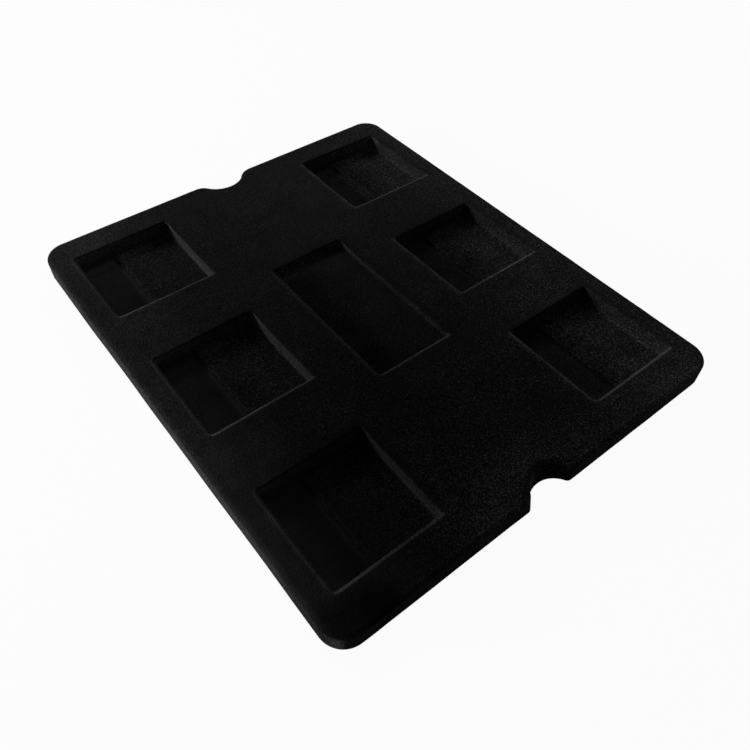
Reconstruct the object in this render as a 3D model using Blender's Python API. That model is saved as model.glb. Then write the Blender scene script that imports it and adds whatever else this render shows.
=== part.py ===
"""Flocked medal display tray: one flat board with six square pockets, a long middle pocket and
a finger notch in the middle of each short end.

X runs along the tray, Y across it and Z up. The origin is the middle of the underside.
All lengths are in metres.
"""
import math

import bmesh
import bpy

# the six square pockets
POCKET_LENGTH = 0.060        # along X
POCKET_WIDTH = 0.060         # along Y
POCKET_DEPTH = 0.010         # from the top face to the main floor
POCKET_CORNER = 0.0018       # upright corners
STRIP_WIDTH = 0.023          # lower strip of the floor, from the pocket's -Y wall
STRIP_DROP = 0.0015          # how far the strip lies below the main floor

# the long middle pocket, for a plaque
PLAQUE_LENGTH = 0.100        # along X
PLAQUE_WIDTH = 0.048         # along Y
PLAQUE_DEPTH = 0.005
PLAQUE_CORNER = 0.0015

# the board between and around the pockets
ROWS = 3                     # square pockets along each long side
ROW_WALL = 0.040             # between two square pockets along X
END_MARGIN = 0.020           # from the last pocket to the short end
SIDE_MARGIN = 0.0135         # from a pocket to the long side
MIDDLE_WALL = 0.028          # between a square pocket and the middle pocket along Y
FLOOR_THICKNESS = 0.002      # under the lowest floor

# edges
EDGE_RADIUS = 0.003          # rounding of the outer edge at the top
FOOT_RADIUS = 0.0004         # rounding of the outer edge at the underside
RIM_RADIUS = 0.0012          # rounding of the pocket rims
TOP_CORNER = 0.010           # plan radius of the board's corners, inside the edge rounding

# the finger notches, which widen evenly from the underside to the top face
NOTCH_RADIUS = 0.0138        # at the underside
NOTCH_DEPTH = 0.0086         # how far a notch reaches in from the short end, at the underside
NOTCH_FLARE = 0.0018         # how much wider and deeper a notch is at the top face
LIP_SHARP = 0.0026           # plan radius of a notch's two lips at the underside, inside its rounding
LIP_ROUND = 0.007            # their plan radius at the top face, inside the edge rounding

# how finely the round stretches are cut, in segments
CORNER_SEGMENTS = 8
NOTCH_SEGMENTS = 16
LIP_SEGMENTS = 5
POCKET_CORNER_SEGMENTS = 4
WALL_SEGMENTS = 3
EDGE_SEGMENTS = 5
SMALL_EDGE_SEGMENTS = 3

# sizes that follow
TRAY_LENGTH = ROWS * POCKET_LENGTH + (ROWS - 1) * ROW_WALL + 2 * END_MARGIN
TRAY_WIDTH = 2 * (SIDE_MARGIN + POCKET_WIDTH + MIDDLE_WALL) + PLAQUE_WIDTH
TRAY_HEIGHT = FLOOR_THICKNESS + STRIP_DROP + POCKET_DEPTH
ROW_PITCH = POCKET_LENGTH + ROW_WALL
COLUMN_Y = (PLAQUE_WIDTH + POCKET_WIDTH) / 2 + MIDDLE_WALL
CORNER_RADIUS = TOP_CORNER + EDGE_RADIUS
LIP_RADIUS_FOOT = LIP_SHARP + FOOT_RADIUS
LIP_RADIUS_TOP = LIP_ROUND + EDGE_RADIUS

# near-black nylon pile on the whole board
FLOCK_COLOUR = (0.0060, 0.0060, 0.0065, 1.0)
FLOCK_ROUGHNESS = 0.95
FLOCK_SHEEN = 0.35
FLOCK_SHEEN_ROUGHNESS = 0.45

SHARP_ANGLE = math.radians(40)


def clear_scene():
    """Remove every object that the scene starts with."""
    for old in list(bpy.data.objects):
        bpy.data.objects.remove(old, do_unlink=True)


def arc(centre_x, centre_y, radius, start, end, segments):
    """Points on a circle from one angle to another, in degrees, both ends included."""
    angles = [math.radians(start + (end - start) * i / segments) for i in range(segments + 1)]
    return [(centre_x + radius * math.cos(a), centre_y + radius * math.sin(a)) for a in angles]


def notch_outline(inset, z):
    """The +X end's finger notch at a height, from its -Y lip to its +Y lip, moved inwards by inset."""
    share = z / TRAY_HEIGHT
    radius = NOTCH_RADIUS + NOTCH_FLARE * share
    depth = NOTCH_DEPTH + NOTCH_FLARE * share
    lip = LIP_RADIUS_FOOT + (LIP_RADIUS_TOP - LIP_RADIUS_FOOT) * share
    end = TRAY_LENGTH / 2
    circle_x = end - depth + radius
    lip_x = end - lip
    reach = lip_x - circle_x
    lip_y = math.sqrt((radius + lip) ** 2 - reach ** 2)
    turn = math.degrees(math.atan2(lip_y, -reach))
    lower = arc(lip_x, -lip_y, lip - inset, 0, turn, LIP_SEGMENTS)
    hollow = arc(circle_x, 0, radius + inset, 180 + turn, 180 - turn, NOTCH_SEGMENTS)
    upper = arc(lip_x, lip_y, lip - inset, -turn, 0, LIP_SEGMENTS)
    return lower[:-1] + hollow + upper[1:]


def board_outline(inset, z):
    """The board's outline at a height, moved inwards by inset, counter-clockwise."""
    x = TRAY_LENGTH / 2 - CORNER_RADIUS
    y = TRAY_WIDTH / 2 - CORNER_RADIUS
    radius = CORNER_RADIUS - inset
    near_notch = notch_outline(inset, z)
    far_notch = [(-px, -py) for px, py in near_notch]
    return (arc(x, -y, radius, -90, 0, CORNER_SEGMENTS) + near_notch
            + arc(x, y, radius, 0, 90, CORNER_SEGMENTS)
            + arc(-x, y, radius, 90, 180, CORNER_SEGMENTS) + far_notch
            + arc(-x, -y, radius, 180, 270, CORNER_SEGMENTS))


def rounding(radius, segments):
    """Offset and drop of each point on a quarter round, from the upright face to the flat one."""
    angles = [math.pi / 2 * i / segments for i in range(segments + 1)]
    return [(radius * (1 - math.cos(a)), radius * (1 - math.sin(a))) for a in angles]


def add_ring(bm, outline, z):
    """A closed row of points at one height."""
    return [bm.verts.new((x, y, z)) for x, y in outline]


def add_wall(bm, lower, upper):
    """Quads all round between two rings with the same number of points."""
    for i in range(len(lower)):
        j = (i + 1) % len(lower)
        bm.faces.new((lower[i], lower[j], upper[j], upper[i]))


def add_walls(bm, rings):
    """Walls between each ring and the next."""
    for lower, upper in zip(rings, rings[1:]):
        add_wall(bm, lower, upper)


def add_board(bm):
    """Underside and outer walls. Returns the ring round the top face."""
    levels = [(inset, rise) for inset, rise in reversed(rounding(FOOT_RADIUS, SMALL_EDGE_SEGMENTS))]
    upright = TRAY_HEIGHT - EDGE_RADIUS - FOOT_RADIUS
    levels += [(0.0, FOOT_RADIUS + upright * i / WALL_SEGMENTS) for i in range(1, WALL_SEGMENTS)]
    levels += [(inset, TRAY_HEIGHT - drop) for inset, drop in rounding(EDGE_RADIUS, EDGE_SEGMENTS)]
    rings = [add_ring(bm, board_outline(inset, z), z) for inset, z in levels]
    add_walls(bm, rings)
    bm.faces.new(rings[0])
    return rings[-1]


def pocket_halves(centre, length, width, corner, split_y, outset):
    """A pocket's outline, moved outwards by outset, as the part beyond split_y and the part before it.

    Both parts start and end on the line y = split_y, and each starts where the other ends.
    """
    centre_x, centre_y = centre
    x = length / 2 - corner
    y = width / 2 - corner
    side = length / 2 + outset
    radius = corner + outset
    quarter = [arc(centre_x + sx * x, centre_y + sy * y, radius, start, start + 90, POCKET_CORNER_SEGMENTS)
               for sx, sy, start in ((1, 1, 0), (-1, 1, 90), (-1, -1, 180), (1, -1, 270))]
    right = (centre_x + side, split_y)
    left = (centre_x - side, split_y)
    beyond = [right] + quarter[0] + quarter[1] + [left]
    before = [left] + quarter[2] + quarter[3] + [right]
    return beyond, before


def add_pocket(bm, centre, length, width, depth, corner, strip_width=0.0, strip_drop=0.0):
    """Walls and floor of one pocket. Returns the ring round its mouth.

    A pocket with a strip has a floor in two levels, with a riser between them.
    """
    split_y = centre[1] - width / 2 + (strip_width or width / 2)
    floor_z = TRAY_HEIGHT - depth
    levels = [(0.0, floor_z)]
    levels += [(outset, TRAY_HEIGHT - drop) for outset, drop in rounding(RIM_RADIUS, SMALL_EDGE_SEGMENTS)]
    rings = []
    for outset, z in levels:
        beyond, before = pocket_halves(centre, length, width, corner, split_y, outset)
        rings.append(add_ring(bm, beyond + before[1:-1], z))
    add_walls(bm, rings)

    floor = rings[0]
    if not strip_width:
        bm.faces.new(floor)
        return rings[-1]

    beyond, before = pocket_halves(centre, length, width, corner, split_y, 0.0)
    main_floor = floor[:len(beyond)]
    strip_top = floor[len(beyond) - 1:] + floor[:1]
    strip_floor = add_ring(bm, before, floor_z - strip_drop)
    bm.faces.new(main_floor)
    bm.faces.new(strip_floor)
    for i in range(len(before) - 1):
        bm.faces.new((strip_floor[i], strip_floor[i + 1], strip_top[i + 1], strip_top[i]))
    bm.faces.new((strip_floor[-1], strip_floor[0], strip_top[0], strip_top[-1]))
    return rings[-1]


def ring_edges(bm, ring):
    """The edges that join a ring's points one after another."""
    return [bm.edges.get((ring[i], ring[(i + 1) % len(ring)])) for i in range(len(ring))]


def flock_material():
    """Short dense nylon pile: almost black, with a faint sheen at a low angle."""
    material = bpy.data.materials.new("flocked_pile")
    material.use_nodes = True
    shader = material.node_tree.nodes["Principled BSDF"]
    shader.inputs["Base Color"].default_value = FLOCK_COLOUR
    shader.inputs["Roughness"].default_value = FLOCK_ROUGHNESS
    shader.inputs["Metallic"].default_value = 0.0
    shader.inputs["Sheen Weight"].default_value = FLOCK_SHEEN
    shader.inputs["Sheen Roughness"].default_value = FLOCK_SHEEN_ROUGHNESS
    return material


def build_tray():
    """The tray as one closed body."""
    bm = bmesh.new()
    mouths = [add_board(bm)]
    first_x = -(ROWS - 1) / 2 * ROW_PITCH
    for column_y in (-COLUMN_Y, COLUMN_Y):
        for row in range(ROWS):
            centre = (first_x + row * ROW_PITCH, column_y)
            mouths.append(add_pocket(bm, centre, POCKET_LENGTH, POCKET_WIDTH, POCKET_DEPTH,
                                     POCKET_CORNER, STRIP_WIDTH, STRIP_DROP))
    mouths.append(add_pocket(bm, (0.0, 0.0), PLAQUE_LENGTH, PLAQUE_WIDTH, PLAQUE_DEPTH, PLAQUE_CORNER))

    top_edges = [edge for ring in mouths for edge in ring_edges(bm, ring)]
    bmesh.ops.triangle_fill(bm, use_beauty=True, use_dissolve=False, edges=top_edges)
    bmesh.ops.recalc_face_normals(bm, faces=bm.faces[:])

    mesh = bpy.data.meshes.new("tray")
    bm.to_mesh(mesh)
    bm.free()
    mesh.shade_smooth()
    mesh.set_sharp_from_angle(angle=SHARP_ANGLE)
    mesh.materials.append(flock_material())
    tray = bpy.data.objects.new("tray", mesh)
    bpy.context.scene.collection.objects.link(tray)
    return tray


clear_scene()
build_tray()
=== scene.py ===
import math

import bmesh
import bpy
import numpy as np
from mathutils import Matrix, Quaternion, Vector
from mathutils.geometry import delaunay_2d_cdt


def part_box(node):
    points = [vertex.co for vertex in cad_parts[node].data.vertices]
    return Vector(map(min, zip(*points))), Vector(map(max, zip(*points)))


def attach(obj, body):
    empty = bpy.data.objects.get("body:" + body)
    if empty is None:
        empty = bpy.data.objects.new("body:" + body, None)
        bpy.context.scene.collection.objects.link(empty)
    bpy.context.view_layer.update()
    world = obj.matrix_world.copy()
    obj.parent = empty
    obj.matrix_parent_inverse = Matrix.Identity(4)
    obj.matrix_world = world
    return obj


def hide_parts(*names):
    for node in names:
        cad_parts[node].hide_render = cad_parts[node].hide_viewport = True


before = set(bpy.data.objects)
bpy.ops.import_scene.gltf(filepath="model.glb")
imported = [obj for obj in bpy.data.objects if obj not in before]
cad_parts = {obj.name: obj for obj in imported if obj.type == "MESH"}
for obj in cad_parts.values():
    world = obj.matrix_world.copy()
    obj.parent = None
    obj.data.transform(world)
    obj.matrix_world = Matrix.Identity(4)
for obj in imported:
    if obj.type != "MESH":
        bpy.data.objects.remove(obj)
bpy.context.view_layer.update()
trayLow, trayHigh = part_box("tray")
trayLength, trayWidth, trayHeight = trayHigh - trayLow
print("frame loaded:", sorted(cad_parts))

mm = 0.001
cc = 1e-6      # cubic centimetre in cubic metres

# the camera stands off the +X -Y corner and looks down along the tray
cameraPlace = {
    "location": (0.2315, -0.1774, 0.2943),
    "aim": (0.0488, -0.0264, 0.0135),      # a point on the top face
    "roll": 1.56,                          # degrees
    "lens": 34.13,
    "sensor": 36.0,
    "clip": (0.01, 20),
}


def addCamera(place):
    # looks from the location to the aim, then turns about the line of sight by the roll
    data = bpy.data.cameras.new("camera")
    data.lens = place["lens"]
    data.sensor_width = place["sensor"]
    data.clip_start, data.clip_end = place["clip"]
    camera = bpy.data.objects.new("camera", data)
    bpy.context.scene.collection.objects.link(camera)
    sight = Vector(place["aim"]) - Vector(place["location"])
    roll = Quaternion((0, 0, 1), math.radians(place["roll"]))
    camera.rotation_mode = "QUATERNION"
    camera.rotation_quaternion = sight.to_track_quat("-Z", "Y") @ roll
    camera.location = place["location"]
    bpy.context.scene.camera = camera


addCamera(cameraPlace)
print("camera placed")


# sizes of the flocked board, as its solid has them
board = {
    "cornerRadius": 13 * mm,
    "edgeRadius": 3 * mm,         # top outer edge
    "footRadius": 0.4 * mm,
    "apron": 0.5 * mm,            # narrow flat ring that each rounding runs out into
    "sideStep": 1.6 * mm,         # spacing of the points along the straight sides
    "topStep": 2.4 * mm,          # spacing of the points on the flat faces
    "cornerSteps": 14,
    "edgeSteps": 8,
    "wallSteps": 6,
    "footSteps": 3,
    "weld": 0.01 * mm,            # points closer than this are joined
}
notch = {
    "radius": 13.8 * mm,          # at the underside
    "depth": 8.6 * mm,
    "flare": 1.8 * mm,            # wider and deeper by this at the top face
    "lipFoot": 3 * mm,            # plan radius of the two lips at the underside
    "lipTop": 10 * mm,            # and at the top face
    "steps": 26,
    "lipSteps": 8,
}
square = {
    "length": 60 * mm,
    "width": 60 * mm,
    "depth": 10 * mm,
    "corner": 1.8 * mm,
    "rim": 1.2 * mm,              # rounding of the mouth
    "fillet": 0.7 * mm,           # pile that gathers where wall meets floor
    "strip": 23 * mm,             # lower strip of the floor, on the -Y side
    "stripDrop": 1.5 * mm,
    "pitch": 100 * mm,            # along the tray
    "columnY": 82 * mm,
}
plaque = {
    "length": 100 * mm,
    "width": 48 * mm,
    "depth": 5 * mm,
    "corner": 1.5 * mm,
    "rim": 1.2 * mm,
    "fillet": 0.7 * mm,
    "strip": 0,
    "stripDrop": 0,
}
# (pocket, x, y): three square ones along each long side and the oblong one in the middle
pocketPlaces = [
    (square, along * square["pitch"], side * square["columnY"])
    for side in (-1, 1)
    for along in (-1, 0, 1)
]
pocketPlaces.append((plaque, 0, 0))
# how finely the pockets are cut up
pocketCuts = {
    "cornerSteps": 5,
    "rimSteps": 5,
    "wallSteps": 6,
    "filletSteps": 4,
    "riserHalf": 0.8 * mm,        # half the width of the step down to the strip
    "riserRows": 9,
    "riserGap": 0.5 * mm,         # kept free of other points on both sides of it
}
# and the flat faces
flatCuts = {
    "rowShare": 0.87,             # distance from row to row, as a share of the step within a row
    "clear": 0.4,                 # of a step, kept free beside the rows of a riser
    "margin": 0.55,               # of a side step, kept free along the rings
    "block": 100,                 # points of a ring that are measured at once
    "weld": 1e-7,
}


def smooth(value, start, stop):
    # S-shaped rise from 0 at the start to 1 at the stop: share squared * (3 - 2 * share)
    share = np.clip((value - start) / (stop - start), 0, 1)
    return share * share * (3 - 2 * share)


def fade(value, start, stop):
    # S-shaped fall from 1 at the start to 0 at the stop
    return 1 - smooth(value, start, stop)


def bell(value, place, reach):
    # 1 at the place, and exp(-(distance / reach) squared) on both sides of it
    return np.exp(-((value - place) / reach) ** 2)


def turn(start, end, steps):
    # unit directions from one angle to another in degrees, both ends included
    angle = np.radians(np.linspace(start, end, steps + 1))
    return np.column_stack([np.cos(angle), np.sin(angle)])


# A path is three arrays: a base point, an outward direction and a reach for each point.
# The outline moved inwards by an inset is base + direction * (reach - inset).
def roundPart(centre, start, end, reach, steps):
    # arc: every base point is the centre, and the directions turn from start to end
    out = turn(start, end, steps)
    return np.tile(np.asarray(centre, float), (len(out), 1)), out, np.full(len(out), reach)


def straightPart(start, end, out, shares):
    # side: start + share * (end - start) for shares between 0 and 1, both ends left out
    base = np.asarray(start) + np.outer(shares, np.subtract(end, start))
    return base, np.tile(np.asarray(out, float), (len(base), 1)), np.zeros(len(base))


def joinParts(parts):
    # each of the three arrays, end to end
    return [np.concatenate(column) for column in zip(*parts)]


def outline(path, inset):
    # base + direction * (reach - inset)
    base, out, reach = path
    return base + out * (reach - inset)[:, None]


def evenShares(length, step):
    # places between equal steps along a side, in the count that comes closest to the given step
    count = max(int(round(length / step)), 2)
    return np.arange(1, count) / count


def notchParts(share):
    # Two lips that bulge outwards, tangent to the end and to the hollow arc between them, so each lip's
    # centre is radius + lip away from the hollow's. The share is 0 at the underside and 1 at the top face.
    radius = notch["radius"] + notch["flare"] * share
    depth = notch["depth"] + notch["flare"] * share
    lip = notch["lipFoot"] + (notch["lipTop"] - notch["lipFoot"]) * share
    end = trayLength / 2
    hollowX = end - depth + radius
    reachX = end - lip - hollowX
    lipY = math.sqrt((radius + lip) ** 2 - reachX ** 2)
    angle = math.degrees(math.atan2(lipY, -reachX))
    lower = roundPart((end - lip, -lipY), 0, angle, lip, notch["lipSteps"])
    base, away, reach = roundPart((hollowX, 0), 180 + angle, 180 - angle, radius, notch["steps"])
    upper = roundPart((end - lip, lipY), -angle, 0, lip, notch["lipSteps"])
    hollow = (base[1:-1], -away[1:-1], -reach[1:-1])
    return [lower, hollow, upper], lipY


def boardPath(z):
    # rounded rectangle with a notch in each short end; the -X half is the +X half turned by 180 degrees
    x, y, radius = trayLength / 2, trayWidth / 2, board["cornerRadius"]
    parts, lipY = notchParts(z / trayHeight)
    endShares = evenShares(y - radius - notch["lipTop"] - notch["radius"], board["sideStep"])
    sideShares = evenShares(2 * (x - radius), board["sideStep"])
    half = joinParts([
        roundPart((x - radius, -y + radius), -90, 0, radius, board["cornerSteps"]),
        straightPart((x, -y + radius), (x, -lipY), (1, 0), endShares),
        *parts,
        straightPart((x, lipY), (x, y - radius), (1, 0), endShares),
        roundPart((x - radius, y - radius), 0, 90, radius, board["cornerSteps"]),
        straightPart((x - radius, y), (-x + radius, y), (0, 1), sideShares),
    ])
    return joinParts([half, (-half[0], -half[1], half[2])])


def quarterRound(radius, steps):
    # (offset, drop) from the flat face, offset 0, to the upright face: radius * sin, radius * (1 - cos)
    angle = np.linspace(0, math.pi / 2, steps + 1)
    return radius * np.sin(angle), radius * (1 - np.cos(angle))


def boardGrid():
    # the outer profile carried round the board: one row of points for each level, top to underside
    offset, drop = quarterRound(board["edgeRadius"], board["edgeSteps"])
    inset = [board["edgeRadius"] + board["apron"], *(board["edgeRadius"] - offset)]
    z = [trayHeight, *(trayHeight - drop)]
    wall = np.linspace(trayHeight - board["edgeRadius"], board["footRadius"], board["wallSteps"] + 1)[1:]
    inset += [0.0] * len(wall)
    z += list(wall)
    offset, drop = quarterRound(board["footRadius"], board["footSteps"])
    inset += [*(board["footRadius"] - offset[::-1])[1:], board["footRadius"] + board["apron"]]
    z += [*drop[::-1][1:], 0.0]
    rows = [outline(boardPath(level), i) for i, level in zip(inset, z)]
    return np.stack([np.column_stack([row, np.full(len(row), level)]) for row, level in zip(rows, z)])


def floorLevel(pocket, y):
    # main floor, less the strip's drop below it; the riser between them is an S-shaped step
    main = trayHeight - pocket["depth"]
    split = -pocket["width"] / 2 + pocket["strip"]
    half = pocketCuts["riserHalf"]
    return main - pocket["stripDrop"] * fade(y, split - half, split + half)


def riserRows(pocket):
    # offsets across the pocket of the rows of points that follow the riser, foot to top
    if not pocket["strip"]:
        return np.zeros(0)
    half = pocketCuts["riserHalf"]
    return -pocket["width"] / 2 + pocket["strip"] + np.linspace(-half, half, pocketCuts["riserRows"])


def pocketPath(pocket):
    # rounded rectangle; the sides along Y have extra points where the floor steps down
    x, y, radius = pocket["length"] / 2, pocket["width"] / 2, pocket["corner"]
    straight = 2 * (y - radius)
    along = evenShares(2 * (x - radius), board["sideStep"])
    rows = riserRows(pocket)
    even = (evenShares(straight, board["sideStep"]) - 0.5) * straight
    if len(rows):
        gap = pocketCuts["riserGap"]
        even = even[(even < rows[0] - gap) | (even > rows[-1] + gap)]
    across = np.sort(np.concatenate([even, rows])) / straight + 0.5
    steps = pocketCuts["cornerSteps"]
    return joinParts([
        roundPart((x - radius, -y + radius), -90, 0, radius, steps),
        straightPart((x, -y + radius), (x, y - radius), (1, 0), across),
        roundPart((x - radius, y - radius), 0, 90, radius, steps),
        straightPart((x - radius, y), (-x + radius, y), (0, 1), along),
        roundPart((-x + radius, y - radius), 90, 180, radius, steps),
        straightPart((-x, y - radius), (-x, -y + radius), (-1, 0), 1 - across[::-1]),
        roundPart((-x + radius, -y + radius), 180, 270, radius, steps),
        straightPart((-x + radius, -y), (x - radius, -y), (0, -1), along),
    ])


def pocketGrid(pocket):
    # Rim, wall and fillet carried round the pocket, one row of points for each level. A level is an inset
    # and a value: on the rim the drop below the top face, on the wall the share of the way down, and on
    # the fillet the lift above the floor.
    path = pocketPath(pocket)
    rim, fillet, apron = pocket["rim"], pocket["fillet"], board["apron"]
    levels = [("rim", -rim - 2 * apron, 0.0), ("rim", -rim - apron, 0.0)]
    offset, drop = quarterRound(rim, pocketCuts["rimSteps"])
    levels += [("rim", o - rim, d) for o, d in zip(offset, drop)]
    levels += [("wall", 0.0, share) for share in np.linspace(0, 1, pocketCuts["wallSteps"] + 1)[1:]]
    offset, rise = quarterRound(fillet, pocketCuts["filletSteps"])
    levels += [("fillet", fillet - o, r) for o, r in zip(offset[::-1][1:], rise[::-1][1:])]
    levels += [("fillet", fillet + apron, 0.0)]
    grid = []
    for part, inset, value in levels:
        plan = outline(path, inset)
        floor = floorLevel(pocket, plan[:, 1])
        if part == "rim":
            z = np.full(len(plan), trayHeight - value)
        elif part == "wall":
            start, stop = trayHeight - rim, floor + fillet
            z = start + (stop - start) * value
        else:
            z = floor + value
        grid.append(np.column_stack([plan, z]))
    return np.stack(grid)


def gridFaces(rows, columns):
    # quads between each row of points and the next, closed round the columns
    index = np.arange(rows * columns).reshape(rows, columns)
    right = np.roll(index, -1, axis=1)
    return np.stack([index[:-1], index[1:], right[1:], right[:-1]], axis=-1).reshape(-1, 4)


def insideRings(points, rings):
    # even-odd rule: a ray from each point crosses the rings an odd number of times
    inside = np.zeros(len(points), bool)
    for ring in rings:
        x0, y0 = ring.T
        x1, y1 = np.roll(ring, -1, axis=0).T
        spans = (y0 > points[:, 1, None]) != (y1 > points[:, 1, None])
        cross = x0 + (points[:, 1, None] - y0) * (x1 - x0) / np.where(y1 == y0, 1, y1 - y0)
        inside ^= (spans & (cross > points[:, 0, None])).sum(1) % 2 == 1
    return inside


def fillFlat(rings, step, extra=None):
    # Delaunay triangles between closed rings, with a staggered grid of points inside them
    edge = np.concatenate(rings)
    low, high = edge.min(0), edge.max(0)
    columns = np.arange(low[0] + step, high[0], step)
    rows = np.arange(low[1] + step, high[1], step * flatCuts["rowShare"])
    x, y = np.meshgrid(columns, rows)
    x = x + (np.arange(len(x)) % 2)[:, None] * step / 2
    inner = np.column_stack([x.ravel(), y.ravel()])
    if extra is not None:
        clear = np.abs(inner[:, 1, None] - extra[:, 1]).min(1) > step * flatCuts["clear"]
        inner = np.concatenate([inner[clear], extra])
    gap = np.full(len(inner), trayLength)
    for ring in rings:
        for block in np.array_split(ring, max(len(ring) // flatCuts["block"], 1)):
            near = np.hypot(inner[:, 0, None] - block[:, 0], inner[:, 1, None] - block[:, 1]).min(1)
            gap = np.minimum(gap, near)
    inner = inner[(gap > board["sideStep"] * flatCuts["margin"]) & insideRings(inner, rings)]
    starts = np.cumsum([0] + [len(ring) for ring in rings])
    loops = [np.arange(len(ring)) + start for ring, start in zip(rings, starts)]
    edges = np.concatenate([np.column_stack([loop, np.roll(loop, -1)]) for loop in loops])
    corners = [Vector(p) for p in np.concatenate([edge, inner]).tolist()]
    # the 1 asks for the triangles inside the outermost ring
    plan, _, faces, *_ = delaunay_2d_cdt(corners, edges.tolist(), [], 1, flatCuts["weld"])
    plan, faces = np.array([p[:] for p in plan]), np.array(faces)
    return plan, faces[insideRings(plan[faces].mean(1), rings)]


def waves(points, length, count, seed):
    # a sum of plane sine waves of 0.7 to 1.4 times the given length, the same everywhere on a seam
    random = np.random.default_rng(seed)
    shortest, longest = 0.7, 1.4
    way = random.normal(size=(count, 3))
    way /= np.linalg.norm(way, axis=1)[:, None]
    way *= 2 * math.pi / (length * random.uniform(shortest, longest, (count, 1)))
    push = random.normal(size=(count, 3)) / math.sqrt(count)
    return np.sin(points @ way.T + random.uniform(0, 2 * math.pi, count)) @ push


# slight unevenness of a cut board under its coat of pile
unevenness = {
    "waves": [(0.07 * mm, 55 * mm, 14, 3), (0.03 * mm, 11 * mm, 24, 5)],    # height, length, count, seed
    "foot": 1.5 * mm,             # the underside stays flat, and heights change in full from here up
}


def settle(points, values):
    # point + height * waves for each length, with the change in z taken in by z / foot
    moved = points.copy()
    for height, length, count, seed in values["waves"]:
        moved += height * waves(points, length, count, seed)
    lift = np.clip(points[:, 2] / values["foot"], 0, 1)
    moved[:, 2] = points[:, 2] + (moved[:, 2] - points[:, 2]) * lift
    return moved


# Painted light and shade, as a lightness that multiplies the plain shade: painted pools of light and shade
# across the top, painted light and shade in the pockets and on the outer walls, and painted highlights along
# the rims; only the smudges are the pile's own uneven lie. A share of 0.5 makes a place lighter by half.
# What fades in x + y is strongest at the -X -Y corner. The values are round ones, matched to how light the
# photo is there.
paintedLight = {
    "plain": 0.56,
    "longEdges": (0.8, 70 * mm, 126 * mm),         # painted light: lighter by, from this far off the middle line to here
    "lightPatches": [
        # painted pools of light and of shade: (lighter by, x, y, reach along X, reach along Y, crispness)
        (1.3, -150 * mm, -95 * mm, 35 * mm, 30 * mm, 1),
        (0.2, -95 * mm, 20 * mm, 45 * mm, 50 * mm, 1),
        (1.2, 150 * mm, 90 * mm, 30 * mm, 40 * mm, 1),
        (-0.8, 150 * mm, -115 * mm, 20 * mm, 25 * mm, 3),
        (0.6, 145 * mm, -10 * mm, 25 * mm, 40 * mm, 2),
        (0.7, 50 * mm, -125 * mm, 80 * mm, 20 * mm, 1),
        (-0.2, 100 * mm, -80 * mm, 35 * mm, 35 * mm, 3),
        (0.6, 60 * mm, 85 * mm, 50 * mm, 30 * mm, 1),
        (-0.2, 60 * mm, -30 * mm, 50 * mm, 30 * mm, 1),
        (0.3, -60 * mm, -95 * mm, 40 * mm, 25 * mm, 1),
        (0.2, -100 * mm, 80 * mm, 50 * mm, 40 * mm, 1),
    ],
    "mouth": 1 * mm,                               # pockets reach this far out from their walls
    "skin": 0.6 * mm,                              # what is this close to a wall lies on it
    "wallTop": (0.2 * mm, 1.2 * mm),               # depths between which a pocket's walls begin
    "deep": (0.65, 4.5 * mm, 9.5 * mm),            # painted light on the pockets' lower walls and floors: share, from this depth to here
    "farWall": (1.5, 7 * mm, -40 * mm, 130 * mm),  # painted light over the shade beside -X walls: share, reach, fading in x + y
    "litWall": (1.7, -180 * mm, 60 * mm),          # painted light on the lit +Y walls: share, fading in x + y
    "dimWall": (1.3, 60 * mm, 150 * mm),           # painted light on the shaded -X walls: share, fading in x + y
    "dimWallFoot": (4 * mm, 9 * mm),               # and fading between these depths
    "riser": (1.8, 1.5 * mm, -60 * mm, 200 * mm),  # painted highlight along the step down to a strip: share, reach, fading in x + y
    "riserTop": 9.5 * mm,                          # it begins at this depth
    "riserEnd": (4 * mm, 22 * mm),                 # and between these distances off the -X wall
    "sideSkin": (2 * mm, 0.3 * mm),                # outer walls begin between these distances inside the edge
    "sideTop": (1 * mm, 3 * mm),                   # and between these depths
    "endSide": -0.1,                               # painted shade on the +X outer wall: share
    "longSide": 0.7,                               # painted light on the -Y one
    "nearCorner": (-0.7, 90 * mm, 130 * mm),       # painted shade on the -Y one near the camera: share, start, stop
    "nearEdge": (1.5, 146.4 * mm, 148.4 * mm),     # painted light on the rounded edge above the +X wall: share, start, stop
    "rims": [
        # painted highlight lines round the pockets' rims, and a painted shade line beside the +Y ones: (side,
        # share in the -Y ones and in the +Y ones, place, reach)
        ("+X", 5.6, 5.2, 1.2 * mm, 0.5 * mm),
        ("-Y", 1.3, 5.2, 1.5 * mm, 0.6 * mm),
        ("+Y", 0.0, -0.3, 2.6 * mm, 0.9 * mm),
    ],
    "rimChange": (-50 * mm, 0),                    # from the -Y ones' share to the +Y ones' in y
    "rimDepth": 1.5 * mm,                          # rims end at this depth
    "smudges": [(0.11, 22 * mm, 40, 11), (0.07, 8 * mm, 60, 12)],    # share, length, count, seed
    "least": 0.3,
}
# how far the fibre tips differ from each other
tips = {
    "plain": 8.0,
    "edgeShare": (0.55, -118 * mm, -40 * mm),        # share left along the -Y edge, fading in y
    "corner": (0.7, 0, 80 * mm),                   # taken off that towards the near corner, rising in x
    "strips": (0.4, 0.65),                         # share left in the strips, -Y pockets and +Y pockets; painted shade, as the smaller spread makes the shadowed strips flatter and darker
    "stripEdge": 0.5 * mm,
    "rims": (0.4, 1.4 * mm, 1 * mm),               # share left on the rims, place off the wall, reach
    "rimDepth": 1.5 * mm,
}


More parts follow.
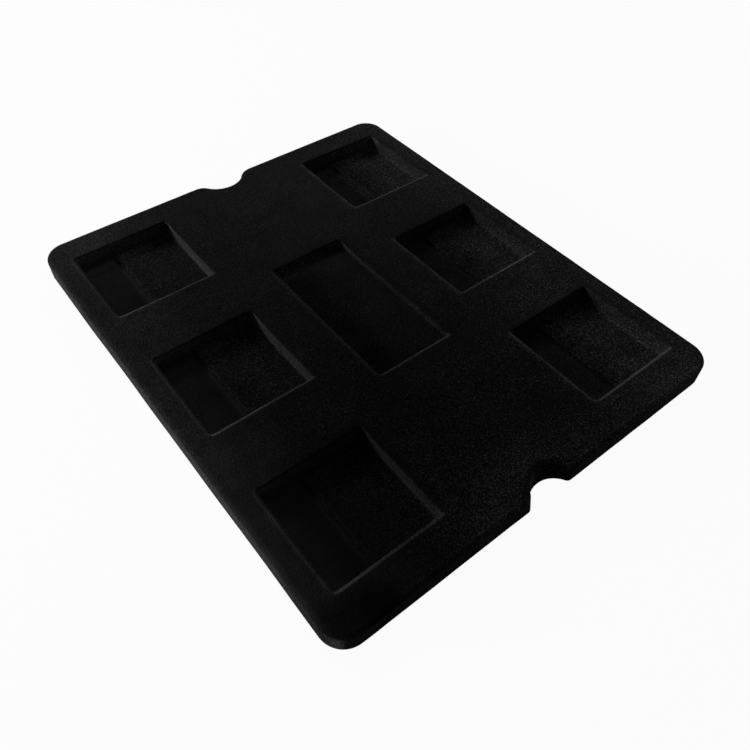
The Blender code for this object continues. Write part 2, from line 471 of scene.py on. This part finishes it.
def pocketPosition(points):
    # for the nearest pocket: distance in plan to its rounded outline, below 0 inside, then the offset
    # from its middle, then half its length and width
    nearest = np.full(len(points), trayLength)
    offset = np.zeros((len(points), 2))
    half = np.zeros((len(points), 2))
    for pocket, x, y in pocketPlaces:
        corner = pocket["corner"]
        size = np.array([pocket["length"], pocket["width"]]) / 2
        away = points[:, :2] - (x, y)
        aside = np.abs(away) - size + corner
        reach = np.hypot(*np.maximum(aside, 0).T) + np.minimum(aside.max(1), 0) - corner
        closer = reach < nearest
        nearest[closer] = reach[closer]
        offset[closer] = away[closer]
        half[closer] = size
    return nearest, offset, half


def paintedPatchLight(x, y, values):
    # plain level, painted light rising towards the long edges, and painted pools of light and shade: height *
    # exp(-distance to twice the crispness)
    rise, start, stop = values["longEdges"]
    light = values["plain"] + rise * smooth(np.abs(y), start, stop)
    for height, strokeX, strokeY, reachX, reachY, crispness in values["lightPatches"]:
        far = ((x - strokeX) / reachX) ** 2 + ((y - strokeY) / reachY) ** 2
        light += height * np.exp(-far ** crispness)
    return light


def pocketPaintedLight(along, depth, position, values):
    # painted light and shade in the pockets: product of 1 + share * how far the point lies on or beside each
    # wall, on the floor and on the riser, where along is x + y
    wall, offset, half = position
    inside = wall < values["mouth"]
    below = smooth(depth, *values["wallTop"]) * inside
    fromEnd = offset[:, 0] + half[:, 0]            # off the -X wall
    fromSide = half[:, 1] - offset[:, 1]           # off the +Y wall
    share, start, stop = values["deep"]
    light = 1 + share * smooth(depth, start, stop) * inside
    share, reach, start, stop = values["farWall"]
    light *= 1 + share * bell(fromEnd, 0, reach) * below * fade(along, start, stop)
    share, start, stop = values["litWall"]
    light *= 1 + share * (fromSide < values["skin"]) * below * fade(along, start, stop)
    share, start, stop = values["dimWall"]
    onWall = (fromEnd < values["skin"]) * below * fade(depth, *values["dimWallFoot"])
    light *= 1 + share * onWall * fade(along, start, stop)
    share, reach, start, stop = values["riser"]
    riserPlace = square["strip"] - pocketCuts["riserHalf"] / 2
    onRiser = bell(offset[:, 1] + half[:, 1], riserPlace, reach) * (depth > values["riserTop"]) * inside
    return light * (1 + share * onRiser * smooth(fromEnd, *values["riserEnd"]) * fade(along, start, stop))


def sidePaintedLight(x, y, depth, values):
    # painted light and shade on the outer walls: product of 1 + share * how far the point lies on the +X and
    # -Y outer walls, on the near end of the -Y one and on the rounded edge above the +X one
    inner, outer = values["sideSkin"]
    below = smooth(depth, *values["sideTop"])
    endWall = smooth(x, trayLength / 2 - inner, trayLength / 2 - outer) * below
    longWall = smooth(-y, trayWidth / 2 - inner, trayWidth / 2 - outer) * below
    light = (1 + values["endSide"] * endWall) * (1 + values["longSide"] * longWall)
    share, start, stop = values["nearCorner"]
    light *= 1 + share * smooth(x, start, stop) * longWall
    share, start, stop = values["nearEdge"]
    return light * (1 + share * smooth(x, start, stop) * (1 - below))


def rimPaintedLines(y, depth, position, values):
    # painted highlight and shade lines along the rims: product of 1 + share * bell of the distance off the
    # wall;
    # a point belongs to the side that it is furthest towards, measured in half lengths and half widths of the
    # pocket
    wall, offset, half = position
    aside = offset / half
    alongX = np.abs(aside[:, 0]) > np.abs(aside[:, 1])
    sides = {
        "+X": alongX & (aside[:, 0] > 0),
        "-Y": ~alongX & (aside[:, 1] < 0),
        "+Y": ~alongX & (aside[:, 1] > 0),
    }
    light = np.ones(len(y))
    for side, share, farShare, place, reach in values["rims"]:
        shares = share + (farShare - share) * smooth(y, *values["rimChange"])
        light *= 1 + shares * sides[side] * bell(wall, place, reach) * (depth < values["rimDepth"])
    return light


def paintedLightAndNap(points, values):
    # painted light patches * pockets' painted light and shade * outer walls' painted light and shade * rims'
    # painted lines * (1 + share * waves) for each smudge of the pile's own lie, never below the least
    x, y, depth = points[:, 0], points[:, 1], trayHeight - points[:, 2]
    position = pocketPosition(points)
    light = paintedPatchLight(x, y, values)
    light *= pocketPaintedLight(x + y, depth, position, values)
    light *= sidePaintedLight(x, y, depth, values)
    light *= rimPaintedLines(y, depth, position, values)
    for share, length, count, seed in values["smudges"]:
        light *= 1 + share * waves(points, length, count, seed)[:, 0]
    return np.maximum(light, values["least"])


def tipSpread(points, values):
    # plain spread * the share left along the -Y edge * that in the strips, where the smaller spread is
    # painted shade
    # * that on the rims, each share let in by 1 - (1 - share) * how far the point lies there
    x, y, depth = points[:, 0], points[:, 1], trayHeight - points[:, 2]
    wall = pocketPosition(points)[0]
    share, start, stop = values["edgeShare"]
    less, lessStart, lessStop = values["corner"]
    edgeShare = share * (1 - less * smooth(x, lessStart, lessStop))
    spread = values["plain"] * (1 - (1 - edgeShare) * fade(y, start, stop))
    nearShare, farShare = values["strips"]
    strip = np.where(y > 0, farShare, nearShare)
    middle = square["depth"] + square["stripDrop"] / 2
    inStrip = smooth(depth, middle - values["stripEdge"], middle + values["stripEdge"]) * (wall < 0)
    spread *= 1 - (1 - strip) * inStrip
    share, place, reach = values["rims"]
    onRim = bell(wall, place, reach) * (depth < values["rimDepth"])
    return spread * (1 - (1 - share) * onRim)


def buildTray():
    # the outer grid, the pockets' grids and the flat faces between them, joined into one closed skin
    parts = []

    def addGrid(grid, flip=False, shift=(0, 0)):
        # adds the grid's points and quads, and returns its first row as a ring
        faces = gridFaces(*grid.shape[:2])
        points = grid.reshape(-1, 3) + [*shift, 0]
        parts.append((points, faces[:, ::-1] if flip else faces))
        return grid[0, :, :2] + shift

    outer = boardGrid()
    rings = [addGrid(outer)]
    for pocket in (square, plaque):
        grid = pocketGrid(pocket)
        rows = riserRows(pocket)
        reach = pocket["length"] / 2 - pocket["fillet"] - board["apron"] - board["sideStep"]
        along = np.arange(-reach, reach, board["sideStep"])
        extra = np.array([(x, y) for y in rows for x in along]) if len(rows) else None
        plan, faces = fillFlat([grid[-1, :, :2]], board["topStep"], extra)
        floor = np.column_stack([plan, floorLevel(pocket, plan[:, 1])])
        for x, y in [place[1:] for place in pocketPlaces if place[0] is pocket]:
            rings.append(addGrid(grid, flip=True, shift=(x, y)))
            parts.append((floor + [x, y, 0], faces))
    plan, faces = fillFlat(rings, board["topStep"])
    parts.append((np.column_stack([plan, np.full(len(plan), trayHeight)]), faces))
    plan, faces = fillFlat([outer[-1, :, :2]], board["topStep"] * 2)      # the plain underside is coarser
    parts.append((np.column_stack([plan, np.zeros(len(plan))]), faces[:, ::-1]))

    starts = np.cumsum([0] + [len(points) for points, _ in parts])
    points = settle(np.concatenate([points for points, _ in parts]), unevenness)
    faces = [face for (_, block), start in zip(parts, starts) for face in (block + start).tolist()]
    mesh = bpy.data.meshes.new("flocked_board")
    mesh.from_pydata(points.tolist(), [], faces)
    shell = bmesh.new()
    shell.from_mesh(mesh)
    bmesh.ops.remove_doubles(shell, verts=shell.verts[:], dist=board["weld"])
    loose = [edge for edge in shell.edges if len(edge.link_faces) != 2]
    print("board:", len(shell.faces), "faces,", len(loose), "open edges, volume in cc:",
          round(shell.calc_volume(signed=True) / cc, 1))
    shell.to_mesh(mesh)
    shell.free()
    mesh.shade_smooth()
    place = np.empty(3 * len(mesh.vertices))
    mesh.vertices.foreach_get("co", place)
    place = place.reshape(-1, 3)
    # the pile attribute carries painted light, shade and highlights, with the pile's own smudges
    for name, values in (("pile", paintedLightAndNap(place, paintedLight)), ("tips", tipSpread(place, tips))):
        mesh.attributes.new(name, "FLOAT", "POINT").data.foreach_set("value", values)
    tray = bpy.data.objects.new("flocked_board", mesh)
    bpy.context.scene.collection.objects.link(tray)
    return tray


tray = buildTray()


def linear(code):
    # sRGB hex to linear red, green, blue, alpha
    parts = [int(code[i:i + 2], 16) / 255 for i in (0, 2, 4)]
    return [c / 12.92 if c <= 0.04045 else ((c + 0.055) / 1.055) ** 2.4 for c in parts] + [1.0]


def addNode(tree, kind, settings=None, links=None):
    # settings are node properties by name or socket values by socket, and links join a socket to
    # another node's output
    node = tree.nodes.new("ShaderNode" + kind)
    for name, value in (settings or {}).items():
        if isinstance(name, str) and hasattr(node, name):
            setattr(node, name, value)
        else:
            node.inputs[name].default_value = value
    for name, (other, output) in (links or {}).items():
        tree.links.new(other.outputs[output], node.inputs[name])
    return node


def newMaterial(name):
    # an empty node material
    material = bpy.data.materials.new(name)
    material.use_nodes = True
    material.node_tree.nodes.clear()
    return material, material.node_tree


# flocked nylon: short black fibres shot into glue, so the tips make a matt grain that only
# raking light picks out, and the pile lights up where it is seen along its edge
flock = {
    "shade": "0f0f0f",            # the plain pile
    "grain": 0.95 * mm,           # clumps of fibre tips; the real 0.3 mm ones are too fine to show
    "grainDetail": 2.0,
    "grainRoughness": 0.6,
    "grainMiddle": 0.5,           # the noise's own average
    "grainDepth": 0.4 * mm,
    "roughness": 0.9,
    "ior": 1.53,
    "specular": 0.0,              # the pile swallows the nylon's gloss
    "sheen": 0.08,
    "sheenRoughness": 0.35,
}


def flockMaterial(values):
    # shade = plain shade * painted light, shade and highlights, with the pile's smudges, from the pile
    # attribute
    # * exp(spread * (noise - middle)), so most tips are dark and a few are bright
    material, tree = newMaterial("flocked_nylon_pile")
    place = addNode(tree, "TexCoord")
    pile = addNode(tree, "Attribute", {"attribute_name": "pile"})
    spread = addNode(tree, "Attribute", {"attribute_name": "tips"})
    grain = addNode(tree, "TexNoise", {
        "Scale": 1 / values["grain"],
        "Detail": values["grainDetail"],
        "Roughness": values["grainRoughness"],
    }, {"Vector": (place, "Object")})
    even = addNode(tree, "Math", {"operation": "SUBTRACT", 1: values["grainMiddle"]}, {0: (grain, "Fac")})
    power = addNode(tree, "Math", {"operation": "MULTIPLY"}, {0: (even, 0), 1: (spread, "Fac")})
    tip = addNode(tree, "Math", {"operation": "EXPONENT"}, {0: (power, 0)})
    level = addNode(tree, "Math", {"operation": "MULTIPLY"}, {0: (tip, 0), 1: (pile, "Fac")})
    plain = linear(values["shade"])[:3]
    shade = addNode(tree, "VectorMath", {"operation": "SCALE", 0: plain}, {"Scale": (level, 0)})
    depth = {"Strength": 1.0, "Distance": values["grainDepth"]}
    bump = addNode(tree, "Bump", depth, {"Height": (grain, "Fac")})
    shader = addNode(tree, "BsdfPrincipled", {
        "Roughness": values["roughness"],
        "IOR": values["ior"],
        "Specular IOR Level": values["specular"],
        "Sheen Weight": values["sheen"],
        "Sheen Roughness": values["sheenRoughness"],
    }, {"Base Color": (shade, "Vector"), "Normal": (bump, "Normal")})
    addNode(tree, "OutputMaterial", None, {"Surface": (shader, "BSDF")})
    return material


tray.data.materials.append(flockMaterial(flock))
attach(tray, "root")
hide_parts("tray")
print("flock laid")


# plain studio: a pale floor, white to the camera, and soft lamps
studio = {
    "floor": "d4d4d4",
    "floorSize": 6.0,
    "shadowShare": 0.05,          # what the camera sees of the floor's own shading; the rest is white
    "world": 0.12,                # light from all round
}
# (name, azimuth, elevation and distance from the middle of the tray, size, power in watts)
# azimuth 0 is +X, and the powers are matched to how light the photo's faces are
lamps = [
    ("low side lamp", 244, 12, 1.2, 0.3, 19.0),
    ("soft end lamp", 195, 40, 1.2, 0.5, 4.8),
    ("soft back lamp", 102, 35, 1.2, 0.4, 2.6),
]


def seenShare(tree, plain, white):
    # what camera, glossy and transmission rays meet is white, everything else is the plain shader
    rays = addNode(tree, "LightPath")
    most = {"operation": "MAXIMUM"}
    one = addNode(tree, "Math", most, {0: (rays, "Is Camera Ray"), 1: (rays, "Is Glossy Ray")})
    two = addNode(tree, "Math", most, {0: (one, 0), 1: (rays, "Is Transmission Ray")})
    return addNode(tree, "MixShader", None, {0: (two, 0), 1: (plain, 0), 2: (white, 0)})


def addFloor(values):
    # a square in the plane of the underside; the camera sees it as white with a share of its shading
    half = values["floorSize"] / 2
    corners = [(-half, -half, 0), (half, -half, 0), (half, half, 0), (-half, half, 0)]
    mesh = bpy.data.meshes.new("floor")
    mesh.from_pydata(corners, [], [(0, 1, 2, 3)])
    floor = bpy.data.objects.new("floor", mesh)
    bpy.context.scene.collection.objects.link(floor)
    material, tree = newMaterial("painted_studio_floor")
    plain = addNode(tree, "BsdfDiffuse", {"Color": linear(values["floor"])})
    glow = addNode(tree, "Emission", {"Color": linear("ffffff"), "Strength": 1.0})
    seen = addNode(tree, "MixShader", {0: 1 - values["shadowShare"]}, {1: (plain, 0), 2: (glow, 0)})
    mixed = seenShare(tree, plain, seen)
    addNode(tree, "OutputMaterial", None, {"Surface": (mixed, 0)})
    mesh.materials.append(material)


def setWorld(values):
    # even light from all round, and white where the camera looks past the floor
    world = bpy.data.worlds.new("studio")
    bpy.context.scene.world = world
    world.use_nodes = True
    tree = world.node_tree
    tree.nodes.clear()
    plain = addNode(tree, "Background", {"Color": linear("ffffff"), "Strength": values["world"]})
    white = addNode(tree, "Background", {"Color": linear("ffffff"), "Strength": 1.0})
    mixed = seenShare(tree, plain, white)
    addNode(tree, "OutputWorld", None, {"Surface": (mixed, 0)})


def addLamp(name, azimuth, elevation, distance, size, power):
    # a round lamp on a sphere about the middle of the tray, facing it
    around, up = math.radians(azimuth), math.radians(elevation)
    level = math.cos(up)
    place = distance * Vector((level * math.cos(around), level * math.sin(around), math.sin(up)))
    data = bpy.data.lights.new(name, "AREA")
    data.shape = "DISK"
    data.size = size
    data.energy = power
    lamp = bpy.data.objects.new(name, data)
    bpy.context.scene.collection.objects.link(lamp)
    lamp.location = place
    lamp.rotation_euler = (-place).to_track_quat("-Z", "Y").to_euler()


addFloor(studio)
setWorld(studio)
for lamp in lamps:
    addLamp(*lamp)
bpy.context.scene.view_settings.view_transform = "Standard"
print("studio lit")
